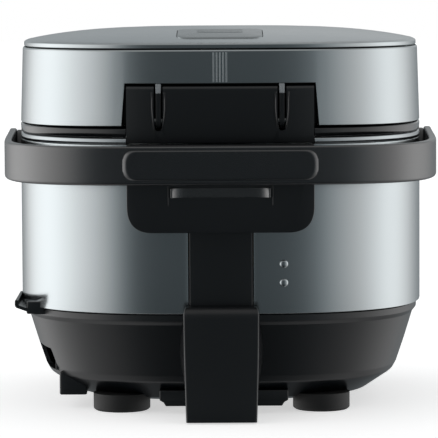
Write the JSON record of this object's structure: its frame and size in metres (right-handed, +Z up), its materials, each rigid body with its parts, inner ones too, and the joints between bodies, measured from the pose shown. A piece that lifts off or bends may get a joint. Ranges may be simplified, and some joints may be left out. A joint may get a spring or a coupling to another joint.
{
  "type": "rice cooker",
  "caption": "Electric rice cooker with a hinged metal lid, fold-down carrying handle, rear dew collector, non-stick inner pot and front control panel.",
  "frame": {"origin": "on the floor, under the centre of the overall box", "axes": "+Z up; the control panel faces -Y; the lid hinge, dew collector and folded handle are at +Y; +X is the side with the power inlet"},
  "size_m": [0.2872, 0.32, 0.2474],
  "materials": {
    "steel": "fine satin",
    "bright_steel": "bright satin",
    "zinc_steel": "zinc plated",
    "black_plastic": "fine moulded satin",
    "gloss_black": "glossy",
    "grey_plastic": "satin",
    "pot_coating": "non-stick coating",
    "heater_film": "woven tape",
    "rubber": "matt",
    "aluminium": "satin",
    "spring_steel": "drawn wire",
    "brass": "plain",
    "circuit_board": "solder mask",
    "display_glass": "dark glossy window"
  },
  "bodies": {
    "cooker": {"base_cover": "black_plastic", "base_shell": "black_plastic", "collector_bracket": "black_plastic", "control_board": "circuit_board", "display_window": "display_glass", "foot_front_left": "rubber", "foot_front_right": "rubber", "foot_rear_left": "rubber", "foot_rear_right": "rubber", "front_fascia": "gloss_black", "handle_pin_left": "bright_steel", "handle_pin_right": "bright_steel", "heating_plate": "aluminium", "hinge_bracket": "zinc_steel", "hinge_cover": "black_plastic", "hinge_shaft": "bright_steel", "hinge_spring_left": "spring_steel", "hinge_spring_right": "spring_steel", "inlet_pin_left": "brass", "inlet_pin_right": "brass", "inlet_socket": "black_plastic", "inner_case": "aluminium", "inner_pot": "pot_coating", "latch_spring": "spring_steel", "leg_pad_left": "rubber", "leg_pad_right": "rubber", "outer_sleeve": "steel", "power_board": "circuit_board", "rear_column": "black_plastic", "rear_leg": "black_plastic", "relay": "black_plastic", "scoop_holder": "black_plastic", "sensor_spring": "spring_steel", "shoulder_ring": "bright_steel", "side_heater": "heater_film", "sleeve_pip_lower": "steel", "sleeve_pip_upper": "steel", "thermal_fuse": "aluminium", "top_frame": "gloss_black"},
    "lid": {"lid_plate": "steel", "lid_band": "steel", "lid_frame": "black_plastic", "inner_lid": "aluminium", "lid_gasket": "rubber", "hinge_arm_left": "grey_plastic", "hinge_arm_right": "grey_plastic", "lid_strike": "zinc_steel", "steam_duct": "black_plastic"},
    "steam_cap": {"steam_cap": "grey_plastic"},
    "handle": {"handle_bail": "black_plastic", "grip_pad": "black_plastic"},
    "collector": {"dew_collector": "black_plastic"},
    "button": {"open_button": "grey_plastic"},
    "latch": {"lid_latch": "zinc_steel"},
    "key_1_body": {"key_1": "grey_plastic"},
    "key_2_body": {"key_2": "grey_plastic"},
    "key_3_body": {"key_3": "grey_plastic"},
    "key_4_body": {"key_4": "grey_plastic"},
    "sensor": {"sensor_cup": "aluminium"}
  },
  "joints": [
    {"name": "lid_hinge", "type": "hinge", "parent": "cooker", "child": "lid", "pos_m": [0, 0.128, 0.19], "axis": [-1, 0, 0], "range_deg": [0, 85]},
    {"name": "handle_pivot", "type": "hinge", "parent": "cooker", "child": "handle", "pos_m": [0, 0, 0.1634], "axis": [1, 0, 0], "range_deg": [0, 90]},
    {"name": "collector_slide", "type": "slide", "parent": "cooker", "child": "collector", "axis": [0, 0, -1], "range_m": [0, 0.045]},
    {"name": "steam_cap_lift", "type": "slide", "parent": "lid", "child": "steam_cap", "axis": [0, 0, 1], "range_m": [0, 0.012]},
    {"name": "button_press", "type": "slide", "parent": "cooker", "child": "button", "axis": [0, 1, 0], "range_m": [0, 0.003], "stiffness_N_per_m": 600, "springref_m": -0.001},
    {"name": "latch_slide", "type": "slide", "parent": "cooker", "child": "latch", "axis": [0, 1, 0], "range_m": [0, 0.003], "deforming": ["latch_spring"]},
    {"name": "sensor_travel", "type": "slide", "parent": "cooker", "child": "sensor", "axis": [0, 0, 1], "range_m": [-0.002, 0], "stiffness_N_per_m": 600, "springref_m": 0.002, "deforming": ["sensor_spring"]},
    {"name": "key_1_press", "type": "slide", "parent": "cooker", "child": "key_1_body", "axis": [0, 1, 0], "range_m": [0, 0.001], "stiffness_N_per_m": 800, "springref_m": -0.0005},
    {"name": "key_2_press", "type": "slide", "parent": "cooker", "child": "key_2_body", "axis": [0, 1, 0], "range_m": [0, 0.001], "stiffness_N_per_m": 800, "springref_m": -0.0005},
    {"name": "key_3_press", "type": "slide", "parent": "cooker", "child": "key_3_body", "axis": [0, 1, 0], "range_m": [0, 0.001], "stiffness_N_per_m": 800, "springref_m": -0.0005},
    {"name": "key_4_press", "type": "slide", "parent": "cooker", "child": "key_4_body", "axis": [0, 1, 0], "range_m": [0, 0.001], "stiffness_N_per_m": 800, "springref_m": -0.0005}
  ],
  "couplings": [
    {"joint": "latch_slide", "follows": "button_press", "ratio": 1}
  ]
}
